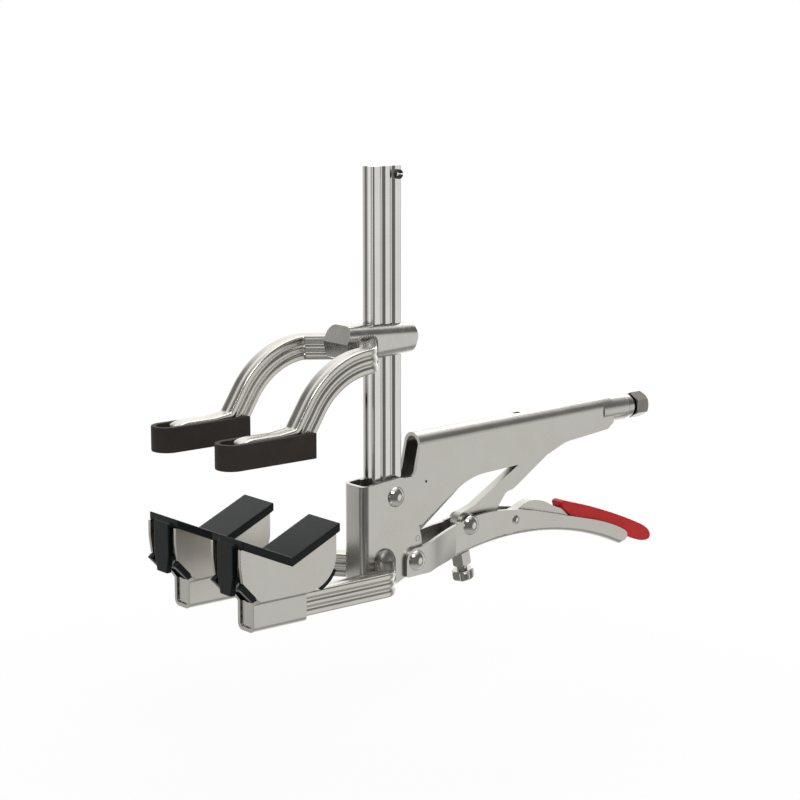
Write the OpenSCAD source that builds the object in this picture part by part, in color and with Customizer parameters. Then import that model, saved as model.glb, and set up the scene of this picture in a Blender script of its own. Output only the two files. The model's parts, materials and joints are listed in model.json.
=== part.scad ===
// Locking pipe pliers: a sliding fork over a fluted rail, facing a fixed pair of V blocks on the
// jaw of a toggle-locking grip. Millimetres. X runs from the jaws to the handles, Y across, Z up.
// The rail's axis is X = Y = 0, and Z = 0 is the underside of the V-block sockets.

/* [Rail] */
// Width of the fluted rail along X
rail_w = 19.5; // [18:0.5:24]
// Thickness of the fluted rail along Y
rail_t = 9.5; // [8:0.5:9.5]
// Height of the rail's top end
rail_top = 222; // [200:1:300]
// Height of the rail's lower end, inside the jaw housing
rail_low = 34; // [30:1:38]
// Radius of the grooves in the broad sides
flute_r = 2; // [1.2:0.1:2.4]
// Depth of the grooves in the broad sides
flute_depth = 0.7; // [0.4:0.1:0.9]
// Corner radius of the fluted bars
bar_corner = 1.3; // [1:0.1:2.4]
// Radius of the roll pin that stops the slide
stop_pin_r = 2.5; // [1.5:0.1:3]
// Distance of the stop pin's axis below the rail's top
stop_pin_drop = 4.5; // [4:0.5:12]

/* [Forks] */
// Height of the arm bars
arm_h = 13; // [12:0.5:15]
// Thickness of the arm bars
arm_t = 9.5; // [8:0.5:10.5]
// Distance between the centres of the two arms
arm_pitch = 55.8; // [50:0.2:66]
// Centreline radius of the bend that turns each arm in towards the middle
bend_r = 6.5; // [6:0.5:8]
// Where the lower arms start to bend in
low_bend_x = -23; // [-26:0.5:-21]
// Where the upper arms start to bend in
top_bend_x = -34.6; // [-37:0.1:-33]
// Height of the upper arms' centreline there
top_bend_z = 127; // [124:0.2:130]
// Centreline radius of the upper arms' sweep
sweep_r = 43.5; // [40:0.5:48]
// Length of the straight shin below the sweep
shin_l = 13.3; // [8:0.1:16]
// Centreline radius of the ankle above each foot
ankle_r = 9; // [9:0.5:12]
// Length of the straight foot
foot_l = 30.7; // [24:0.1:36]

/* [Slide collar] */
// Height of the collar
collar_h = 20; // [17:0.5:24]
// Width of the collar along Y
collar_w = 20; // [17:0.5:24]
// Front end of the collar
collar_front = -31; // [-34:0.5:-29]
// Back end of the collar
collar_back = 16.5; // [14:0.5:19]
// Corner radius of the collar's long edges
collar_round = 6; // [2:0.5:7]
// Taper of the collar's top and underside towards the back, in degrees
collar_taper = 2.6; // [0:0.2:3.4]
// Gap between the collar and the rail on each side
slide_gap = 0.12; // [0.08:0.01:0.2]

/* [Foot caps] */
// Length of a cap
cap_l = 54; // [48:1:60]
// Wall of a cap
cap_wall = 3.2; // [2:0.1:3.6]
// Floor of a cap
cap_floor = 2; // [1.5:0.1:3]
// Height of a cap
cap_h = 13; // [10:0.2:15]
// Gap between a foot and the cap's wall
cap_gap = 0.2; // [0.1:0.05:0.4]

/* [V blocks] */
// Thickness of the folded sheet of the V blocks
block_sheet = 2; // [1.5:0.1:2.5]
// Length of a V block's upper plates
block_l = 58.5; // [54:0.5:64]
// Outer width of the upper plates
block_w = 25.2; // [22:0.2:28]
// Middle of the V groove along X
v_x = -90; // [-92:0.5:-88]
// Slope of each side of the V
v_slope = 24; // [20:1:30]
// Height of the metal at the bottom of the V
v_bottom = 32.2; // [30:0.2:34]
// Thickness of the rubber pads
pad_t = 4; // [3:0.2:5]
// How far the pads stand over the plates on each side
pad_over = 0.4; // [0.2:0.1:1]
// Front end of the sockets
socket_front = -109.5; // [-111:0.5:-107]
// Back end of the sockets
socket_back = -77; // [-80:0.5:-72]
// Height of the socket's straight walls
socket_h = 14.5; // [13:0.5:16]
// Gap between an arm and its socket
socket_gap = 0.1; // [0.05:0.05:0.2]

/* [Jaw housing] */
// Thickness of the housing's and the lever's folded sheet
sheet = 2; // [1.6:0.1:2.2]
// Front face of the housing
housing_front = -19.8; // [-22:0.2:-17]
// Height of the housing's top edge at the front
housing_top = 55.6; // [54:0.2:57]
// Side play between the housing and the handle
side_play = 0.15; // [0.1:0.01:0.25]
// Outer corner radius of the housing's fold
housing_round = 4; // [3:0.5:5]

/* [Pivots] */
// Main pivot, jaw on handle, along X
pivot_x = 2.2; // [1.4:0.2:3]
// Main pivot along Z
pivot_z = 47.8; // [46:0.2:49]
// Lever pivot on the jaw, along X
lever_x = 14.9; // [14.1:0.2:15.9]
// Lever pivot on the jaw, along Z
lever_z = 11.5; // [10.9:0.2:12.1]
// Link pivot on the lever, along X
link_x = 57.2; // [56:0.2:58.4]
// Link pivot on the lever, along Z
link_z = 23.3; // [22.9:0.2:23.9]
// Release pivot on the lever, along X
release_x = 90.6; // [89:0.2:92]
// Release pivot on the lever, along Z
release_z = 21.1; // [20.7:0.2:21.5]
// Radius of the large rivets' shanks
rivet_r = 3; // [2.5:0.1:3.5]
// Radius of the large rivets' domed heads
rivet_head_r = 5.5; // [5:0.1:6]
// Height of the large rivets' heads
rivet_head_h = 3; // [2:0.1:3.5]
// Radius of the small rivet's shank
small_rivet_r = 1.6; // [1.3:0.1:1.8]
// Radius of the small rivet's head
small_head_r = 2.7; // [2.3:0.1:3]
// Running clearance round a shank
run_gap = 0.05; // [0.03:0.01:0.08]

/* [Handle] */
// Height of the channel's ridge at its mouth
ridge_z = 79; // [78:0.2:82]
// Rise of the ridge towards the end, in degrees
ridge_rise = 1; // [0.5:0.1:1.4]
// Radius of the handle's neck
neck_r = 7.5; // [7.2:0.1:8.2]
// Where the neck starts inside the channel
neck_x = 158; // [156:1:160]
// Length of the neck
neck_l = 21; // [18:0.5:26]
// Height of the adjusting screw's axis
screw_z = 73.5; // [72.5:0.1:74]
// Radius of the adjusting screw's shank
screw_r = 4; // [3.5:0.1:4.2]
// Tip of the adjusting screw
screw_tip_x = 144.5; // [144:0.5:148]
// Across flats of the adjusting screw's head
screw_head_af = 13; // [11:0.5:15]
// Length of the adjusting screw's head
screw_head_l = 10; // [8:0.5:12]

/* [Hand lever] */
// Radius of the lever's arched back
arch_r = 190; // [185:1:195]
// Place of the arch's crest along X
arch_x = 92; // [90:0.5:94]
// Height of the arch's crest
arch_z = 12; // [11.4:0.1:12.4]
// Outer width of the lever's channel
lever_w = 13; // [12.6:0.1:13.4]
// Radius of the lever's ears round the pivot
ear_r = 7; // [6.6:0.1:7.8]
// Width of the release lever
release_w = 6; // [5:0.2:6.4]
// Thickness of the release lever's sheet
release_sheet = 1.5; // [1:0.1:1.8]
// Width of the dipped grip
grip_w = 8.6; // [7.6:0.1:8.7]

/* [Toggle link] */
// Thickness of the link
link_t = 5.2; // [4.4:0.2:7]
// Radius of the link's end that bears on the screw
link_end_r = 4; // [3:0.2:4.4]
// Link end in the channel, along X
link_end_x = 138; // [136:0.5:139]
// Link end in the channel, along Z
link_end_z = 70.5; // [69.5:0.5:71.5]

/* [Stop screw] */
// Place of the stop screw along X
knob_x = 54.5; // [53:0.5:56]
// Radius of the stop screw's shank
knob_shank_r = 3; // [2.5:0.1:3.2]
// Across flats of the lock nut
nut_af = 10; // [9:0.5:11]
// Height of the lock nut
nut_h = 8; // [6:0.5:9]
// Radius of the knob
knob_r = 6.2; // [5.5:0.1:7]
// Height of the knob
knob_h = 5.5; // [4:0.5:6]
// Bare neck between the nut and the knob
knob_neck = 3; // [1.5:0.5:4]

/* [Tension spring] */
// Outer radius of the coils
coil_r = 3; // [2.4:0.1:3.2]
// Radius of the spring wire
wire_r = 0.5; // [0.35:0.05:0.6]
// Number of coils
coils = 48; // [30:1:60]
// Radius of the pin that holds the spring on the jaw
spring_pin_r = 1.5; // [1.2:0.1:1.8]
// Place of the spring pin along X
spring_pin_x = 17.2; // [16.8:0.1:17.4]
// Place of the spring pin along Z
spring_pin_z = 23; // [22.4:0.2:23.6]
// Place of the spring's tab under the ridge, along X
tab_x = 92; // [88:0.5:96]

/* [Hidden] */
$fn = 48;

steel = "gainsboro";
bright = "whitesmoke";
black = [0.12, 0.12, 0.12];
red = [0.8, 0.12, 0.12];

// Widths across Y, from the rail outwards
channel_in = rail_t / 2;
channel_out = channel_in + sheet;
housing_in = channel_out + side_play;
housing_out = housing_in + sheet;
ear_in = housing_out + side_play;
ear_out = ear_in + sheet;
lever_out = lever_w / 2;
lever_in = lever_out - sheet;
head_gap = 0.1;

// Forks
arm_y = arm_pitch / 2;
socket_in = arm_t / 2 + socket_gap;
socket_out = socket_in + block_sheet;
low_arm_z = block_sheet + arm_h / 2;
stub_l = 26;

// Turning angles of the arms, as the cosine and sine of exact right triangles, so that the pieces
// of a bar meet exactly: inward bend and sweep, ankle, and what is left as the slope at the top
turn_c = 0.6;
turn_s = 0.8;
ankle_c = 0.5376;
ankle_s = 0.8432;
slope_c = ankle_c * turn_c + ankle_s * turn_s;
slope_s = ankle_s * turn_c - ankle_c * turn_s;
foot_z = top_bend_z - sweep_r * (slope_c - ankle_c) - shin_l * ankle_s - ankle_r * (1 - ankle_c);
ankle_x = top_bend_x + sweep_r * (slope_s - ankle_s) - shin_l * ankle_c - ankle_r * ankle_s;
foot_tip_x = ankle_x - foot_l;

// Collar and caps
collar_z = top_bend_z + 4.4;
collar_low = collar_z - collar_h / 2;
cap_low = foot_z - arm_h / 2 - cap_floor;
cap_out = arm_t / 2 + cap_gap + cap_wall;
cap_front = foot_tip_x - 11.4;

// V blocks
block_x0 = v_x - 0.53 * block_l;
block_x1 = block_x0 + block_l;
plate_low = socket_h + 3;
heel_r = 17;
heel_x = block_x1 - heel_r;
heel_z = plate_low + heel_r;
toe_z = plate_low + 11;
toe_x = block_x0 + 11.4;
wing = block_l / 2 + 0.6;

// Handle
mouth_x = 20.7;
shelf_z = housing_top + 1;
lobe_low = 29.8;
handle_front = -rail_w / 2 - 0.75;
neck_end = neck_x + neck_l;
bush_r = neck_r - 1.4;
bush_flange = 5;

// Lever arch
arch_cz = arch_z - arch_r;
knob_tilt = asin((arch_x - knob_x) / arch_r);
web = sheet;
ear_end = lever_x + 34;

// Spring line, from the jaw's pin to the tab under the ridge
tab_z = ridge_z - sheet + (tab_x - mouth_x) * tan(ridge_rise) - 3;
spring_dx = tab_x - spring_pin_x;
spring_dz = tab_z - spring_pin_z;
spring_len = sqrt(spring_dx * spring_dx + spring_dz * spring_dz);
spring_angle = atan2(spring_dz, spring_dx);
coil_start = spring_pin_r + 6;
coil_pitch = 1.9 * wire_r;

// Points of a cubic curve from a to d, pulled towards b and c, without its first point
function curve(a, b, c, d, n = 8) = [for (i = [1 : n]) let (t = i / n, s = 1 - t)
    s * s * s * a + 3 * s * s * t * b + 3 * s * t * t * c + t * t * t * d];

// Points on a circle from angle a0 to a1
function arc(x, z, r, a0, a1, n = 12) =
    [for (i = [0 : n]) let (a = a0 + (a1 - a0) * i / n) [x + r * cos(a), z + r * sin(a)]];

// A side outline in X and Z, given thickness between two places along Y
module across(y0, y1) {
    translate([0, y1, 0]) rotate([90, 0, 0]) linear_extrude(y1 - y0) children();
}

// A round bar along Y, centred on the middle plane
module cross_rod(x, z, r, half) {
    translate([x, half, z]) rotate([90, 0, 0]) cylinder(r = r, h = 2 * half);
}

// A rectangle with round corners, centred
module round_rect(w, h, r) {
    square([w - 2 * r, h], center = true);
    square([w, h - 2 * r], center = true);
    for (sx = [-1, 1], sy = [-1, 1])
        translate([sx * (w / 2 - r), sy * (h / 2 - r)]) circle(r);
}

// Section of the fluted bars: w is the broad side
module fluted(w, t) {
    difference() {
        round_rect(w, t, bar_corner);
        for (sx = [-1, 1], sy = [-1, 1])
            translate([sx * w / 6, sy * (t / 2 + flute_r - flute_depth)]) circle(flute_r);
        for (sx = [-1, 1])
            translate([sx * (w / 2 + flute_r - flute_depth / 2), 0]) circle(flute_r);
    }
}

// A domed rivet along Y with a head on each side of a stack
module rivet(x, z, shank, head, head_h, half) {
    dome_r = (head * head + head_h * head_h) / (2 * head_h);
    cross_rod(x, z, shank, half);
    for (side = [-1, 1])
        translate([x, side * (half - 0.01), z]) rotate([-90 * side, 0, 0])
            rotate_extrude()
                intersection() {
                    translate([0, head_h - dome_r]) circle(dome_r, $fn = 96);
                    square([head, head_h]);
                }
}

// A straight run of arm bar along X
module arm_run(l) {
    rotate([90, 0, 90]) linear_extrude(l) rotate(90) fluted(arm_h, arm_t);
}

// Part of a ring round Z that starts on the X axis and turns by an angle given by its cosine and
// sine; the child is the section, X outwards from the ring's axis
module ring_piece(r, c, s) {
    intersection() {
        rotate_extrude(angle = 80, $fn = 120) translate([r, 0]) children();
        translate([0, 0, -arm_h]) linear_extrude(2 * arm_h)
            polygon([[0, 0], [3 * r, -r], [3 * r, 3 * r], [3 * r * c, 3 * r * s]]);
    }
}

// An arm bar that leaves the origin along X and turns down
module arm_turn(r, c, s) {
    translate([0, 0, -r]) rotate([0, -90, -90]) ring_piece(r, c, s) fluted(arm_h, arm_t);
}

// Places what follows at the end of such a turn
module past_turn(r, c, s) {
    translate([r * s, 0, r * c - r]) rotate([0, atan2(s, c), 0]) children();
}

// The inward bend of an arm and the stub behind it, starting at the origin along X
module arm_tail() {
    translate([0, bend_r, 0]) rotate([0, 0, -90]) ring_piece(bend_r, turn_c, turn_s)
        rotate(90) fluted(arm_h, arm_t);
    translate([bend_r * turn_s, bend_r - bend_r * turn_c, 0])
        rotate([0, 0, atan2(turn_s, turn_c)]) arm_run(stub_l);
}

// The near upper arm: foot, ankle, shin, sweep and inward stub, cut flush with the collar's side
module upper_arm() {
    difference() {
        translate([top_bend_x, -arm_y, top_bend_z]) rotate([0, -atan2(slope_s, slope_c), 0]) {
            arm_tail();
            mirror([1, 0, 0]) {
                arm_turn(sweep_r, turn_c, turn_s);
                past_turn(sweep_r, turn_c, turn_s) {
                    arm_run(shin_l);
                    translate([shin_l, 0, 0]) mirror([0, 0, 1]) {
                        arm_turn(ankle_r, ankle_c, ankle_s);
                        past_turn(ankle_r, ankle_c, ankle_s) mirror([0, 0, 1]) foot();
                    }
                }
            }
        }
        translate([-80, -collar_w / 2, 90]) cube([120, 80, 80]);
    }
}

// The foot, along X from the origin: a level run of bar, a little flattened, with a blunt tip
module foot() {
    top = arm_h / 2;
    intersection() {
        arm_run(foot_l);
        across(-arm_t, arm_t) polygon(concat(
            [[-1, -arm_h], [-1, arm_h], [0.6, top + 0.4], [9, top - 0.8], [foot_l - 8, top - 1]],
            curve([foot_l - 8, top - 1], [foot_l - 4.6, top - 1.2],
                  [foot_l - 1.6, top - 2.2], [foot_l, top - 5], 6),
            [[foot_l, 2 - top], [foot_l - 1.6, 0.4 - top], [foot_l - 3, -arm_h]]));
    }
}

// The near lower arm: a straight bar in its socket, bent in to the housing's side
module lower_arm() {
    difference() {
        translate([0, -arm_y, low_arm_z]) {
            translate([socket_front + 1, 0, 0]) arm_run(low_bend_x - socket_front - 1);
            translate([low_bend_x, 0, 0]) arm_tail();
        }
        translate([-60, -housing_out, -10]) cube([120, 80, 60]);
    }
}

// Side outline of a V block: socket below, plates with the V cut to the metal above
module block_outline() {
    v_end = v_bottom + wing * tan(v_slope);
    heel_end = acos((socket_back - heel_x) / heel_r);
    polygon(concat(
        [[socket_front, 0], [socket_front, plate_low - 0.6], [toe_x, plate_low],
         [block_x0 + 1.2, toe_z], [block_x0, toe_z + 9], [block_x0, v_end], [v_x - wing, v_end],
         [v_x, v_bottom], [block_x1, v_bottom + (block_x1 - v_x) * tan(v_slope)]],
        arc(heel_x, heel_z, heel_r, 0, -heel_end),
        [[socket_back, 0]]));
}

module v_block() {
    intersection() {
        translate([block_x0 - 1, -arm_y, 0]) rotate([90, 0, 90]) linear_extrude(block_l + 2)
            difference() {
                folded_section(socket_out, block_w / 2, 0, 0);
                folded_section(socket_in, block_w / 2 - block_sheet, block_sheet, 20);
            }
        across(-arm_y - block_w, -arm_y + block_w) block_outline();
    }
}

// Filled section of a V block: socket, sloping shoulders and the wide space above
module folded_section(narrow, wide, floor_z, extra) {
    corner = max(narrow - arm_t / 2 - socket_gap + 1.5, 1.5);
    rise = floor_z * 0.4;
    translate([0, floor_z + 10]) round_rect(2 * narrow, 20, corner);
    translate([-narrow, floor_z + corner + 2])
        square([2 * narrow, socket_h + rise - floor_z - corner - 2]);
    polygon([[-narrow, socket_h + rise], [narrow, socket_h + rise],
             [wide, plate_low + rise], [-wide, plate_low + rise]]);
    translate([-wide, plate_low + rise]) square([2 * wide, 50 + extra]);
}

// A point at a chamfered toe: part of the way up the chamfer, and out from it into the block
function toe_point(t, o) = let (dx = block_x0 + 1.2 - toe_x, dz = toe_z - plate_low,
                                l = sqrt(dx * dx + dz * dz))
    [toe_x + t * dx + o * dz / l, plate_low + t * dz - o * dx / l];

// A rubber pad: the V sheet, a tongue and two hooks at the front, a strap and a strip at the back
module v_pad() {
    half = block_w / 2 + pad_over;
    inside = block_w / 2 - block_sheet;
    strap = inside - 4;
    rise = wing * tan(v_slope);
    lift = pad_t / cos(v_slope);
    tongue_z = toe_z - 8;
    translate([0, -arm_y, 0]) {
        across(-half, half) polygon([
            [v_x - wing, v_bottom + rise], [v_x, v_bottom], [v_x + wing, v_bottom + rise],
            [v_x + wing, v_bottom + rise + lift], [v_x, v_bottom + lift],
            [v_x - wing, v_bottom + rise + lift]]);
        intersection() {
            across(-strap, strap) polygon([
                [block_x0 - 0.6, tongue_z], [block_x0 + 2.4, tongue_z],
                [block_x0 + 2.4, v_bottom + rise + 1], [v_x - wing, v_bottom + rise + 2],
                [block_x0 - 0.6, v_bottom + rise + 1]]);
            translate([block_x0 - 5, 0, 0]) rotate([90, 0, 90]) linear_extrude(20) polygon([
                [-0.64 * strap, tongue_z - 1], [0.64 * strap, tongue_z - 1],
                [strap + 0.2, toe_z + 2.5], [strap + 0.2, 90], [-strap - 0.2, 90],
                [-strap - 0.2, toe_z + 2.5]]);
        }
        across(-inside, inside) polygon([
            toe_point(0.12, 0.3), toe_point(1, 0.3), toe_point(1, 2.5), toe_point(0.12, 2.5)]);
        for (side = [-1, 1]) scale([1, side, 1]) {
            across(inside - 1.6, inside) polygon([
                toe_point(0.3, 1.5), toe_point(0.3, -1.5), toe_point(0.9, -1.5), toe_point(0.9, 1.5)]);
            across(inside - 1.6, half) polygon([
                toe_point(0.25, 0), toe_point(0.96, 0), toe_point(0.96, -3.2), toe_point(0.2, -3)]);
        }
        across(-strap, strap) polygon([
            [block_x1 - 2, heel_z - 8], [block_x1 + 0.4, heel_z - 8],
            [block_x1 + 0.4, v_bottom + rise], [block_x1 - 2, v_bottom + rise - 1]]);
        across(-half, half) intersection() {
            difference() {
                translate([heel_x, heel_z]) circle(heel_r + 2, $fn = 96);
                translate([heel_x, heel_z]) circle(heel_r + 0.05, $fn = 96);
            }
            polygon([[heel_x, heel_z], [heel_x + 24, heel_z - 12], [heel_x + 10, heel_z - 24]]);
        }
    }
}

// A cap: an open-topped tray with a round front that slips over the foot from the front
module foot_cap() {
    inner = arm_t / 2 + cap_gap;
    translate([0, -arm_y, cap_low]) difference() {
        linear_extrude(cap_h) {
            translate([cap_front + cap_out, 0]) circle(cap_out);
            translate([cap_front + cap_out, -cap_out]) square([cap_l - cap_out, 2 * cap_out]);
        }
        translate([0, 0, cap_floor]) linear_extrude(cap_h) {
            translate([cap_front + 2.4 + inner, 0]) circle(inner);
            translate([cap_front + 2.4 + inner, -inner]) square([cap_l, 2 * inner]);
        }
    }
}

// Side outline of the jaw housing
module housing_outline() {
    polygon(concat(
        [[housing_front - 1, 0], [housing_front - 1, housing_top], [5, housing_top + 2.2]],
        curve([5, housing_top + 2.2], [9.5, housing_top + 2.4], [12, 54], [12.8, 50], 6),
        [[19.6, 24]],
        arc(lever_x, lever_z, ear_r - 0.8, 16, -96, 16),
        [[2, 0.3]]));
}

module jaw_housing() {
    color(steel) difference() {
        intersection() {
            across(-housing_out, housing_out) housing_outline();
            difference() {
                housing_plan(0, housing_out, housing_round);
                housing_plan(sheet, housing_in, housing_round - sheet + 0.4);
            }
        }
        cross_rod(pivot_x, pivot_z, rivet_r + run_gap, housing_out + 1);
        cross_rod(lever_x, lever_z, rivet_r + run_gap, housing_out + 1);
        cross_rod(spring_pin_x, spring_pin_z, spring_pin_r, housing_out + 1);
    }
}

// Plan of the housing's outer or inner side, round at its two front corners
module housing_plan(inset, half, r) {
    translate([housing_front + inset + 30, 0, -2]) linear_extrude(80)
        round_rect(60, 2 * half, r);
}

// Side outline of the upper handle: plates beside the rail, mouth, lobe and long channel
module handle_outline() {
    polygon(concat(
        [[handle_front, lobe_low + 0.4], [handle_front, shelf_z], [14, shelf_z]],
        curve([14, shelf_z], [16.5, shelf_z], [17.6, shelf_z + 1], [17.9, shelf_z + 4], 5),
        [[mouth_x, ridge_z - 6], [mouth_x, ridge_z + 10], [neck_x + 8, ridge_z + 10],
         [neck_x + 8, 67], [neck_x + 3.4, 63.5], [135, 61]],
        curve([135, 61], [122, 61], [117, 52.6], [98, 52.6], 10),
        [[73, 51.4]],
        curve([73, 51.4], [62, 51.4], [55, 49.8], [46.5, 44.8], 8),
        [[39.2, 40.5], [mouth_x + 1.4, lobe_low - 0.4], [16, lobe_low - 1]]));
}

// The handle's inverted-U section, swept along the rising ridge
module ridge_prism(half, drop, l) {
    translate([mouth_x, 0, ridge_z]) rotate([0, -ridge_rise, 0]) translate([-34, 0, 0])
        rotate([90, 0, 90]) linear_extrude(l) {
            translate([0, -half - drop]) circle(half, $fn = 72);
            translate([-half, -90]) square([2 * half, 90 - half - drop]);
        }
}

module handle_channel() {
    color(steel) difference() {
        union() {
            difference() {
                intersection() {
                    across(-channel_out, channel_out) handle_outline();
                    ridge_prism(channel_out, 0, neck_end + 50 - mouth_x);
                }
                ridge_prism(channel_in, sheet, neck_x + 34 - mouth_x);
            }
            translate([neck_x, 0, screw_z]) rotate([0, 90, 0]) neck();
            spring_tab();
        }
        translate([neck_x - 1, 0, screw_z]) rotate([0, 90, 0]) cylinder(r = bush_r, h = 40);
        cross_rod(pivot_x, pivot_z, rivet_r, channel_out + 1);
        translate([tab_x + 1.2, -1.6, tab_z]) cube([5, 3.2, 20]);
    }
}

// The round neck, with a chamfered end
module neck() {
    l = neck_end - neck_x;
    cylinder(r = neck_r, h = l - 1);
    translate([0, 0, l - 1]) cylinder(r1 = neck_r, r2 = neck_r - 0.8, h = 1);
}

// The tab lanced down from the ridge that holds the spring's hook
module spring_tab() {
    translate([tab_x - 0.6, -1.6, tab_z - 2.6]) difference() {
        cube([1.6, 3.2, 7]);
        translate([-1, 1.6, 2.6]) rotate([0, 90, 0]) cylinder(r = wire_r + 0.2, h = 4);
    }
}

module rail() {
    color(bright) difference() {
        translate([0, 0, rail_low]) linear_extrude(rail_top - rail_low) fluted(rail_w, rail_t);
        cross_rod(pivot_x, pivot_z, rivet_r, rail_t);
        cross_rod(rail_w / 2 - 3, rail_top - stop_pin_drop, stop_pin_r, rail_t);
    }
}

// The rolled stop pin, split along its length, standing out on both sides of the rail
module stop_pin() {
    color(steel) difference() {
        cross_rod(rail_w / 2 - 3, rail_top - stop_pin_drop, stop_pin_r, rail_t / 2 + 1.5);
        cross_rod(rail_w / 2 - 3, rail_top - stop_pin_drop, stop_pin_r - 0.9, rail_t);
        translate([rail_w / 2 - 3, -rail_t, rail_top - stop_pin_drop - 0.3])
            cube([stop_pin_r + 1, 2 * rail_t, 0.6]);
    }
}

module main_rivet() {
    color(bright)
        rivet(pivot_x, pivot_z, rivet_r, rivet_head_r, rivet_head_h, housing_out + head_gap);
}

module lever_rivet() {
    color(bright)
        rivet(lever_x, lever_z, rivet_r, rivet_head_r, rivet_head_h, ear_out + head_gap);
}

module link_rivet() {
    color(bright) rivet(link_x, link_z, rivet_r, rivet_head_r, rivet_head_h, lever_out + 0.02);
}

module release_rivet() {
    color(bright) rivet(release_x, release_z, small_rivet_r, small_head_r, 1.1, lever_out + 0.02);
}

module spring_pin() {
    color(steel) cross_rod(spring_pin_x, spring_pin_z, spring_pin_r, housing_out + 0.05);
}

// The threaded bush in the neck, with a flange behind it
module thread_bush() {
    color(steel) translate([neck_x, 0, screw_z]) rotate([0, 90, 0]) difference() {
        union() {
            cylinder(r = bush_r, h = neck_end - neck_x + bush_flange);
            translate([0, 0, neck_end - neck_x]) cylinder(r = neck_r - 0.8, h = bush_flange - 1);
        }
        translate([0, 0, -1]) cylinder(r = screw_r + run_gap, h = 60);
    }
}

// The adjusting screw: rounded tip, shank and chamfered six-sided head
module adjusting_screw() {
    head_x = neck_end + bush_flange + 1.2;
    flat_r = screw_head_af / 2;
    color(steel) translate([0, 0, screw_z]) rotate([0, 90, 0]) {
        translate([0, 0, screw_tip_x + 2]) cylinder(r = screw_r, h = head_x - screw_tip_x - 1);
        translate([0, 0, screw_tip_x]) cylinder(r1 = screw_r - 1.6, r2 = screw_r, h = 2);
        intersection() {
            translate([0, 0, head_x]) cylinder(r = flat_r / cos(30), h = screw_head_l, $fn = 6);
            translate([0, 0, head_x]) rotate_extrude() polygon([
                [0, 0], [flat_r, 0], [flat_r + 1.2, 1], [flat_r + 1.2, screw_head_l - 1.6],
                [flat_r - 0.8, screw_head_l], [0, screw_head_l]]);
        }
    }
}

// A bar of the collar's section, tilted about its front end
module collar_prism(tilt) {
    translate([collar_front, 0, collar_z]) rotate([0, tilt, 0]) translate([-6, 0, 0])
        rotate([90, 0, 90]) linear_extrude(80) round_rect(collar_w, collar_h, collar_round);
}

// The collar: a blunt forged block with round long edges and a slot for the rail
module slide_collar() {
    top = collar_z + collar_h / 2;
    color(steel) difference() {
        intersection() {
            collar_prism(collar_taper);
            collar_prism(-collar_taper);
            across(-collar_w, collar_w) polygon([
                [collar_front + 4, top], [collar_front, collar_z + 1], [collar_front + 1.5, collar_z - 7],
                [collar_front + 8, collar_low], [collar_back - 5, collar_low],
                [collar_back - 2, collar_z - 6], [collar_back, collar_z + 1],
                [collar_back - 1, collar_z + 7], [collar_back - 4, top]]);
        }
        translate([0, 0, collar_low - 1]) linear_extrude(collar_h + 2)
            round_rect(rail_w + 2 * slide_gap, rail_t + 2 * slide_gap, bar_corner);
    }
}

module upper_arm_near() { color(bright) upper_arm(); }
module upper_arm_far() { color(bright) mirror([0, 1, 0]) upper_arm(); }
module foot_cap_near() { color(black) foot_cap(); }
module foot_cap_far() { color(black) mirror([0, 1, 0]) foot_cap(); }
module lower_arm_near() { color(bright) lower_arm(); }
module lower_arm_far() { color(bright) mirror([0, 1, 0]) lower_arm(); }
module v_block_near() { color(steel) v_block(); }
module v_block_far() { color(steel) mirror([0, 1, 0]) v_block(); }
module v_pad_near() { color(black) v_pad(); }
module v_pad_far() { color(black) mirror([0, 1, 0]) v_pad(); }

// Side outline of the hand lever's channel above its arched back
module lever_outline() {
    polygon(concat(
        [[40, -20], [40, 23.73], [48, 25.6]],
        curve([48, 25.6], [66, 29.8], [82, 29.4], [106, 23.8], 12),
        [[152.6, 11.3]],
        curve([152.6, 11.3], [163, 8.2], [172, 4.6], [177.6, 1], 8),
        curve([177.6, 1], [181.2, -1.6], [178.2, -5.4], [175, -5], 6),
        [[150, -20]]));
}

// Back of the lever: everything outside its arch, with round bottom edges
module arch_envelope(inset, half, corner) {
    translate([arch_x, 0, arch_cz]) rotate([90, 0, 0])
        rotate_extrude(angle = 118, $fn = 240) {
            translate([arch_r + inset + corner, -half]) square([60, 2 * half]);
            translate([arch_r + inset, corner - half]) square([60, 2 * (half - corner)]);
            for (side = [-1, 1])
                translate([arch_r + inset + corner, side * (half - corner)]) circle(corner, $fn = 32);
        }
}

// Plan of one ear plate: outside the housing at the pivot, tapering in to the channel
module ear_plan() {
    polygon([[0, ear_in], [lever_x + 9.6, ear_in], [ear_end - 3, lever_in], [ear_end, lever_in],
             [ear_end, lever_out], [ear_end - 2.4, lever_out], [lever_x + 10.4, ear_out],
             [0, ear_out]]);
}

module hand_lever() {
    joggle = ear_end - 1;
    color(steel) difference() {
        union() {
            intersection() {
                across(-lever_out, lever_out) lever_outline();
                difference() {
                    arch_envelope(0, lever_out, 2.5);
                    arch_envelope(web, lever_in, 1);
                }
                translate([joggle, -20, -40]) cube([200, 40, 100]);
            }
            intersection() {
                across(-ear_out, ear_out) ear_outline();
                translate([0, 0, -20]) linear_extrude(60) {
                    ear_plan();
                    mirror([0, 1]) ear_plan();
                }
            }
        }
        cross_rod(lever_x, lever_z, rivet_r + run_gap, ear_out + 1);
        cross_rod(link_x, link_z, rivet_r, lever_out + 1);
        cross_rod(release_x, release_z, small_rivet_r, lever_out + 1);
        translate([arch_x, 0, arch_cz]) rotate([0, -knob_tilt, 0]) translate([0, 0, arch_r - 4])
            cylinder(r = knob_shank_r + run_gap, h = 10);
    }
}

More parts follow.
